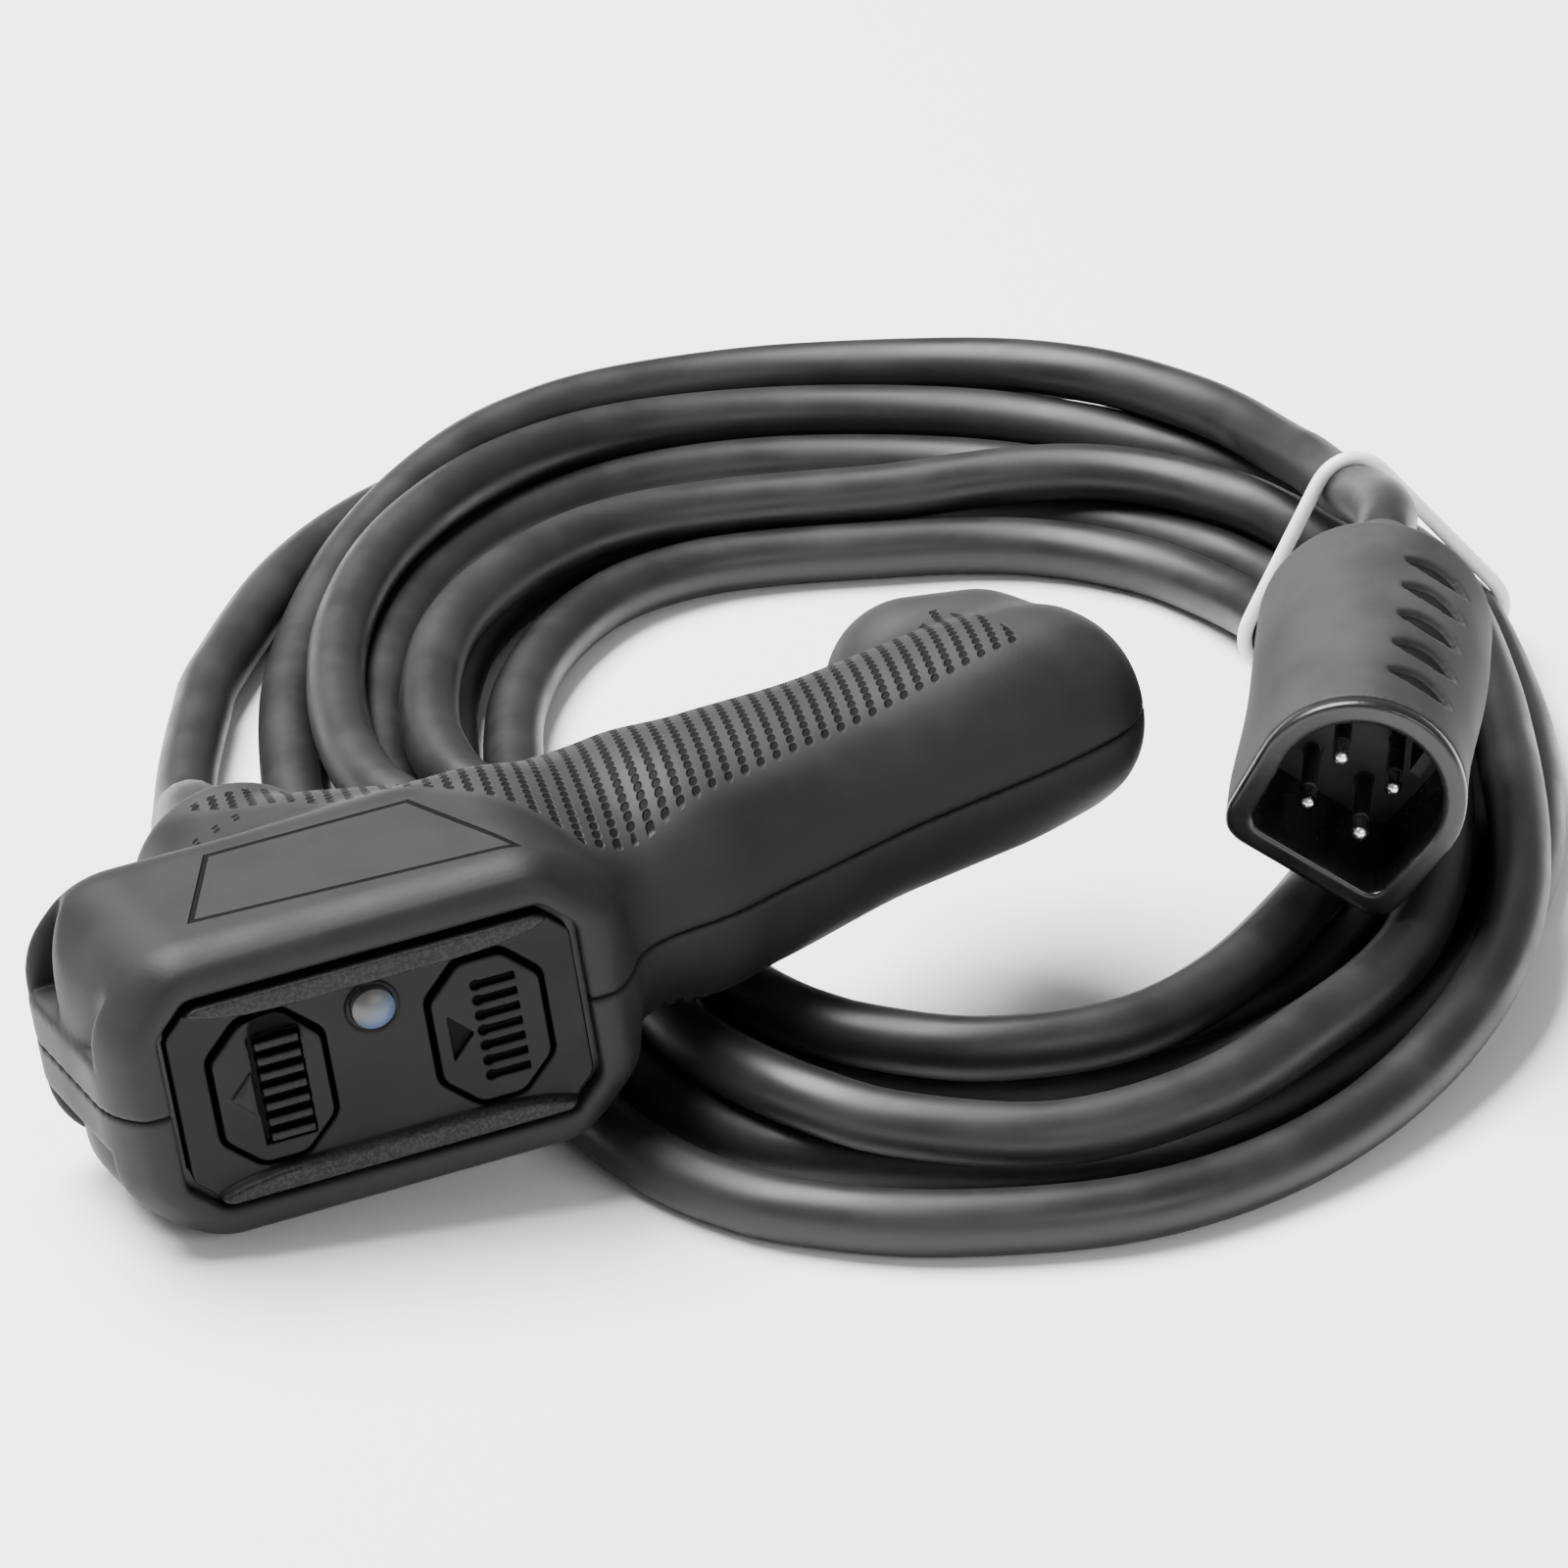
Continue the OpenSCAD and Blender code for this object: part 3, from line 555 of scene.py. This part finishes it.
def plug_rubber():
    """Grey rubber, with painted shade in the leaf-shaped recesses."""
    m = Nodes("plug rubber")
    tint, roughness, fine = base_coat(m, (0.021, 0.021, 0.0213), 0.7, vary=0.35)
    x, y, z = m.xyz()
    off = m.math("PINGPONG", z + LEAF_FIRST, LEAF_PITCH / 2) + LEAF_OFFSET
    across = x - LEAF_CENTRE
    far = m.math("SQRT", across * across + off * off)
    leaves = m.ramp(far, LEAF_R - 0.1, LEAF_R - 0.5) * m.ramp(x, -4.7, -4.3)
    leaves = leaves * m.ramp(y, 2.0, 4.0) * m.inside(z, -45.0, -8.5)
    # Painted shade: the leaf-shaped recesses are painted darker.
    tint = m.mix(leaves * 0.9, tint, (0.006, 0.006, 0.006))
    return m.set(Base_Color=tint, Roughness=roughness, Normal=m.bump(fine, 0.03 * MM, 0.6),
                 Specular_IOR_Level=m.ramp(leaves, 0.0, 1.0, 0.3, 0.08))


carved("plug_skin", plug_field, (-18, -18, -57), (18, 18, -1.5), 0.4, PLUG, plug_rubber(),
       "handset", ["plug_body"])
carved("plug_liner_skin", liner_field, (-16.5, -16.5, -31), (16.5, 16.5, 1), 0.35, PLUG,
       plain("plug liner", (0.005, 0.005, 0.005), 0.28, grain=0.01), "handset", ["plug_liner"])


# Cord

CORD_R = 4.5
APART = 2 * CORD_R + 0.2
TIE_R = 1.15
# Where the tie is: degrees round the coil from its east towards its north, and how far in
TIE_ANGLE, TIE_INSET = 23, 12
COIL_TURN = math.radians(-17)
COIL_AT = (63, 117)
OVAL_MID, OVAL_HALF, OVAL_POWER = (0.5, 11), (99, 132), 0.889


def in_row(p):
    """Points in the coil's own axes, as points in the row's."""
    p = np.atleast_2d(p).astype(float)
    c, s = math.cos(COIL_TURN), math.sin(COIL_TURN)
    x, y = p[:, 0] + COIL_AT[0], p[:, 1] + COIL_AT[1]
    return np.stack([x * c - y * s + HAND_AT[0], x * s + y * c + HAND_AT[1], p[:, 2]], 1)


def oval(angle, inset):
    """A point of the coil's rounded oval, drawn in by inset."""
    sides = []
    for mid, half, way in zip(OVAL_MID, OVAL_HALF, (np.cos(angle), np.sin(angle))):
        sides.append(mid + (half - inset) * np.sign(way) * np.abs(way) ** OVAL_POWER)
    return np.stack(sides, -1)


def lengths(points):
    """How far along the line each of its points is."""
    return np.concatenate([[0], np.cumsum(np.linalg.norm(np.diff(points, axis=0), axis=1))])


def smooth_line(points, step):
    """A smooth curve through the points, evenly spaced."""
    p = np.asarray(points, float)
    q = np.vstack([2 * p[0] - p[1], p, 2 * p[-1] - p[-2]])
    out = []
    for i in range(1, len(q) - 2):
        a, b, c, d = q[i - 1:i + 3]
        slope, bend, twist = (c - a) / 2, a - 2.5 * b + 2 * c - d / 2, (3 * b - a - 3 * c + d) / 2
        for t in np.arange(0, 1, 0.05):
            out.append(b + t * (slope + t * (bend + t * twist)))
    out = np.array(out + [p[-1]])
    run = lengths(out)
    even = np.linspace(0, run[-1], int(run[-1] / step) + 1)
    return np.stack([np.interp(even, run, out[:, k]) for k in range(3)], 1)


# The lead from the gland down to the table, in the coil's axes
OUT = [(-89.1, -51.8, 25.9), (-91.2, -45, 25.8), (-93.2, -38, 24.2), (-94.8, -31, 20.6),
       (-96, -24, 16), (-96.9, -16.5, 11.4), (-97.6, -8, 7.4), (-98, 1, 5.2),
       (-98.2, 11, 4.6), (-98, 22, 4.5), (-97.3, 35, 4.5)]
# Each run of the coil from its west by north, east and south, at its eighths: how far in it lies and how high
RUNS = [
    [(0, 4.5), (0, 4.5), (1, 4.5), (1, 4.5), (0, 4.5), (8, 4.5), (17, 4.5), (44, 4.5)],
    [(29, 4.5), (14.5, 4.5), (11, 4.5), (10, 4.5), (9.3, 4.5), (21, 4.5), (34, 4.5), (53, 4.5)],
    [(38.5, 4.5), (33, 4.5), (37, 4.5), (20, 4.5), (18.5, 4.5), (31, 4.5), (48, 4.5), (62, 4.5)],
    [(48, 4.5), (45, 4.5), (47, 4.5), (29, 4.5), (27.6, 4.5), (26, 12.8), (27, 12.5), (59, 12.5)],
    [(36, 12.5), (37, 13), (42, 12.8), (15, 12.5), (14, 12.5), (12, 12.5), (9, 12.5), (50, 12)],
    [(24.5, 12.5), (12.5, 12.8), (6.5, 12.5), (5.5, 12.5), (4.7, 12.5), (1, 8.5), (1, 4.5), (35, 4.5)],
    [(16, 4.5), (4, 13), (-1, 19), (10, 23)],
]
# The lead that rises over the coil to the plug's boot
IN = [(71, 83, 24.5), (75, 65, 28.2), (77.8, 48, 34), (78.9, 33, 38.2)]
# Its last points lie straight behind the plug's mouth, this far back
BEHIND_MOUTH = (79, 77, 70, 58, 46)
# The first run starts past its west, where the lead out joins it
JOIN_ANGLE = -166
# How much more inset and height weigh than degrees where the runs are smoothed
WEIGHT = 4
# Millimetres between the cord's points, and how many of them are held at the gland and at the boot
POINT_STEP, HELD_START, HELD_END = 4, 10, 26
# Points nearer along the cord than this never push each other apart
NEIGHBOURS = 5
# How near two points must be to be watched, and how many rounds the choice stands
WATCHED, WATCH_ROUNDS = 14, 10
# A stretch of cord of this many points to either side of its middle may bow no further than this
BOW_REACH, BOW_MOST = 6, 6.3
ROUNDS, FINE_ROUNDS = 420, 60


def coil_line(step):
    stops = [s for run in RUNS for s in run]
    angle = np.radians(180 - 45 * np.arange(len(stops)))
    inset, high = np.array(stops, float).T
    table = smooth_line(np.stack([np.degrees(-angle), inset * WEIGHT, high * WEIGHT], 1), 2)
    first = np.searchsorted(table[:, 0], JOIN_ANGLE)
    turns = oval(np.radians(-table[first:, 0]), table[first:, 1] / WEIGHT)
    ring = in_row(np.column_stack([turns, table[first:, 2] / WEIGHT]))
    way = PLUG_TURN @ Vector((0, 0, -1))
    boot = [np.array(PLUG_AT + way * d) for d in BEHIND_MOUTH]
    return smooth_line(np.vstack([in_row(OUT), ring[::8], in_row(IN), boot]), step)


def tie_axes():
    """The middle of the turns where the tie goes round, the way of the cord there, and the way out."""
    mid = in_row([*oval(np.radians(TIE_ANGLE), TIE_INSET), 0])[0]
    ahead = in_row([*oval(np.radians(TIE_ANGLE + 1), TIE_INSET), 0])[0]
    along = (ahead - mid) / np.linalg.norm(ahead - mid)
    return mid, along, np.array([along[1], -along[0], 0])


def local(matrix, p):
    """The row's points in a body's own axes."""
    m = np.array(matrix.inverted())
    return (p * MM) @ m[:3, :3].T + m[:3, 3]


def push_out(p, matrix, field, room):
    """Moves points that are nearer to a body than room straight out of it."""
    q = local(matrix, p)
    d = field(*q.T)
    near = d < room
    if not near.any():
        return p
    slope = np.stack([field(*(q[near] + e).T) - d[near] for e in np.eye(3) * 0.2], 1)
    slope /= np.maximum(np.linalg.norm(slope, axis=1), 1e-6)[:, None]
    turn = np.array(matrix)[:3, :3] / MM
    out = p.copy()
    out[near] += (slope * (room - d[near])[:, None]) @ turn.T
    return out


def relaxed(home):
    """The cord pushed out of itself, the table, the handset and the plug, and lifted over the tie."""
    p = home.copy()
    n = len(p)
    i, j = np.triu_indices(n, NEIGHBOURS)
    free = np.ones(n)
    free[:HELD_START] = 0
    free[n - HELD_END:] = 0
    free = free[:, None]
    mid, along, out = tie_axes()
    for turn in range(ROUNDS):
        if turn % WATCH_ROUNDS == 0:
            near = np.linalg.norm(p[i] - p[j], axis=1) < WATCHED
            a, b = i[near], j[near]
        d = p[a] - p[b]
        dist = np.linalg.norm(d, axis=1)
        hit = dist < APART
        v = d[hit] / dist[hit, None] * ((APART - dist[hit]) * 0.5)[:, None]
        push = np.zeros_like(p)
        np.add.at(push, a[hit], v)
        np.add.at(push, b[hit], -v)
        bow = np.zeros_like(p)
        bow[BOW_REACH:-BOW_REACH] = (p[:-2 * BOW_REACH] + p[2 * BOW_REACH:]) / 2 - p[BOW_REACH:-BOW_REACH]
        sag = np.linalg.norm(bow, axis=1)[:, None]
        bow *= np.maximum(0, 1 - BOW_MOST / np.maximum(sag, 0.01)) * 0.35
        shift = (p + push * 0.4 + bow - home) * 0.999
        shift[:, 2] -= 0.02
        # What moved a point moves the cord beside it too, more evenly in the early rounds
        for _ in range(2 if turn < ROUNDS - FINE_ROUNDS else 1):
            shift[1:-1] = shift[1:-1] * 0.5 + (shift[:-2] + shift[2:]) * 0.25
        p = home + shift * free
        p = p * (1 - free) + push_out(p, HAND, handset_form, CORD_R + 0.15) * free
        p = p * (1 - free) + push_out(p, PLUG, plug_skin, CORD_R + 0.15) * free
        over_tie = np.exp(-((p - mid) @ along / 16) ** 2) * (np.abs((p - mid) @ out) < 50)
        p[:, 2] = np.maximum(p[:, 2], CORD_R + (2 * TIE_R + 0.2) * over_tie)
    return p


line = relaxed(coil_line(POINT_STEP))
jacket = plain("cord jacket", (0.0095, 0.0095, 0.0098), 0.45, unit=1000, grain=0.02, Specular_IOR_Level=0.35)


def cord_object(name, points, radius, material, closed=False):
    cu = bpy.data.curves.new(name, "CURVE")
    cu.dimensions = "3D"
    cu.bevel_depth = radius * MM
    cu.bevel_resolution = 6
    cu.use_fill_caps = not closed
    sp = cu.splines.new("POLY")
    sp.points.add(len(points) - 1)
    for p, q in zip(sp.points, points):
        p.co = (*(q * MM), 1)
    sp.use_cyclic_u = closed
    ob = bpy.data.objects.new(name, cu)
    bpy.context.scene.collection.objects.link(ob)
    cu.materials.append(material)
    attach(ob, "handset")
    return ob


cord = cord_object("cord", line, CORD_R, jacket)
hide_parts("cord_lead_out", "cord_coil", "cord_lead_in")
line[0] * MM


# Tie, round whatever turns pass its place

def tie_loop():
    """A closed loop drawn tight round the cord's crossings of the tie's plane, resting on the table."""
    mid, along, out = tie_axes()
    side = (line - mid) @ along
    cross = []
    for i in np.nonzero(side[:-1] * side[1:] < 0)[0]:
        t = side[i] / (side[i] - side[i + 1])
        p = line[i] * (1 - t) + line[i + 1] * t
        if abs((p - mid) @ out) < 45:
            cross.append(((p - mid) @ out, p[2]))
    cross = np.array(cross)
    rim = []
    for q in np.radians(np.arange(0, 360, 4)):
        way = np.array([math.cos(q), math.sin(q)])
        reach = cross @ way
        rim.append(cross[reach.argmax()] + way * (CORD_R + TIE_R + 0.1))
    rim = np.array(rim)
    ring = np.vstack([rim, rim[:1]])
    run = lengths(ring)
    even = np.linspace(0, run[-1], 120)[:-1]
    ring = np.stack([np.interp(even, run, ring[:, k]) for k in (0, 1)], 1)
    for _ in range(3):
        ring = (ring + (np.roll(ring, 1, 0) + np.roll(ring, -1, 0)) / 2) / 2
    high = np.maximum(ring[:, 1], TIE_R)
    return mid + ring[:, :1] * out + np.column_stack([np.zeros((len(ring), 2)), high])


tie_white = plain("tie", (0.75, 0.75, 0.74), 0.35, unit=1000, vary=0.06)
tie = cord_object("tie", tie_loop(), TIE_R, tie_white, closed=True)
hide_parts("cord_tie")


# Finishes of the CAD's own pieces

# Colour, roughness and metal of each slot that is one coat all over
FINISH = {
    "black_rubber": ((0.008, 0.008, 0.008), 0.5, 0.0),
    "seal_silicone": ((0.2, 0.2, 0.21), 0.5, 0.0),
    "switch_case": ((0.03, 0.03, 0.035), 0.4, 0.0),
    "plunger_plastic": ((0.7, 0.7, 0.66), 0.4, 0.0),
    "board": ((0.02, 0.09, 0.045), 0.35, 0.0),
    "emitter": ((0.8, 0.8, 0.7), 0.3, 0.0),
    "terminal_plastic": ((0.6, 0.6, 0.55), 0.45, 0.0),
    "screw_steel": ((0.55, 0.55, 0.56), 0.3, 1.0),
    "brass": ((0.6, 0.42, 0.16), 0.3, 1.0),
    "clamp_plastic": ((0.08, 0.08, 0.08), 0.5, 0.0),
    "cord_jacket": ((0.013, 0.013, 0.0135), 0.42, 0.0),
    "insulation_black": ((0.015, 0.015, 0.015), 0.4, 0.0),
    "insulation_red": ((0.4, 0.02, 0.015), 0.4, 0.0),
    "insulation_green": ((0.02, 0.2, 0.05), 0.4, 0.0),
    "insulation_white": ((0.75, 0.75, 0.75), 0.4, 0.0),
    "tie_plastic": ((0.85, 0.85, 0.84), 0.35, 0.0),
    "plug_rubber": ((0.021, 0.021, 0.0213), 0.7, 0.0),
    "shell_rubber": ((0.05, 0.05, 0.052), 0.5, 0.0),
    "panel_plastic": ((0.02, 0.02, 0.021), 0.36, 0.0),
}


def pin_plating():
    """Bright metal that goes dark in the depth of the plug's mouth."""
    m = Nodes("pin plating")
    tint, roughness, fine = base_coat(m, (0.8, 0.8, 0.78), 0.22, 1000)
    depth = m.along(PLUG_AT, PLUG_TURN @ Vector((0, 0, 1)))
    tint = m.mix(m.ramp(depth, -9.0, -6.5), (0.012, 0.012, 0.012), tint)
    return m.set(Base_Color=tint, Roughness=roughness, Metallic=m.ramp(depth, -9.0, -7.5),
                 Normal=m.bump(fine, 0.01 * MM, 0.5))


def lamp_lens():
    """Grey on its upper left, blue on its lower right."""
    m = Nodes("lamp lens")
    tint, roughness, fine = base_coat(m, (0.055, 0.053, 0.051), 0.42, 1000, 0.12)
    slant = m.along(HAND @ Vector((0, -2, LENS_Z)) / MM, Vector((1, 0, -1)).normalized())
    tint = m.mix(m.ramp(slant, -1.8, 1.8), tint, (0.04, 0.062, 0.12))
    return m.set(Base_Color=tint, Roughness=roughness, Normal=m.bump(fine, 0.01 * MM, 0.5))


made = {"pin_metal": pin_plating(), "lens": lamp_lens()}
for slot, (color, rough, metal) in FINISH.items():
    made[slot] = plain(slot, color, rough, unit=1000, metallic=metal, grain=0.015)
for part in frame["record"]["subparts"]:
    mesh = nodes[part["node"]].data
    mesh.materials.clear()
    mesh.materials.append(made[part["material_slot"]])


# Floor, light and camera

bpy.ops.mesh.primitive_plane_add(size=8, location=(0, 0, -0.0002))
floor = bpy.context.object
floor.name = "floor"
floor.data.materials.append(Nodes("floor").set(Base_Color=(0.9, 0.9, 0.9), Roughness=0.9))

world = bpy.data.worlds.new("studio")
bpy.context.scene.world = world
world.use_nodes = True
world.node_tree.nodes["Background"].inputs[0].default_value = (1, 1, 1, 1)
world.node_tree.nodes["Background"].inputs[1].default_value = 0.42


def area(name, at, aim, size, power):
    light = bpy.data.lights.new(name, "AREA")
    light.shape = "RECTANGLE"
    light.size, light.size_y = size
    light.energy = power
    ob = bpy.data.objects.new(name, light)
    bpy.context.scene.collection.objects.link(ob)
    ob.location = at
    ob.rotation_euler = (Vector(aim) - Vector(at)).to_track_quat("-Z", "Y").to_euler()


area("key", (-0.5, 0.45, 1.5), (0.05, 0.05, 0), (1.5, 1.0), 150)
area("front", (0.5, -1.4, 0.75), (0, 0, 0), (1.2, 0.4), 11)

camera = bpy.data.cameras.new("camera")
camera.lens, camera.sensor_width = 181.1, 36
eye = bpy.data.objects.new("camera", camera)
bpy.context.scene.collection.objects.link(eye)
at, aim = Vector((-257.0, -927.7, 514.2)) * MM, Vector((45.2, 60.7, 10)) * MM
eye.location = at
eye.rotation_euler = (aim - at).to_track_quat("-Z", "Y").to_euler()
bpy.context.scene.camera = eye
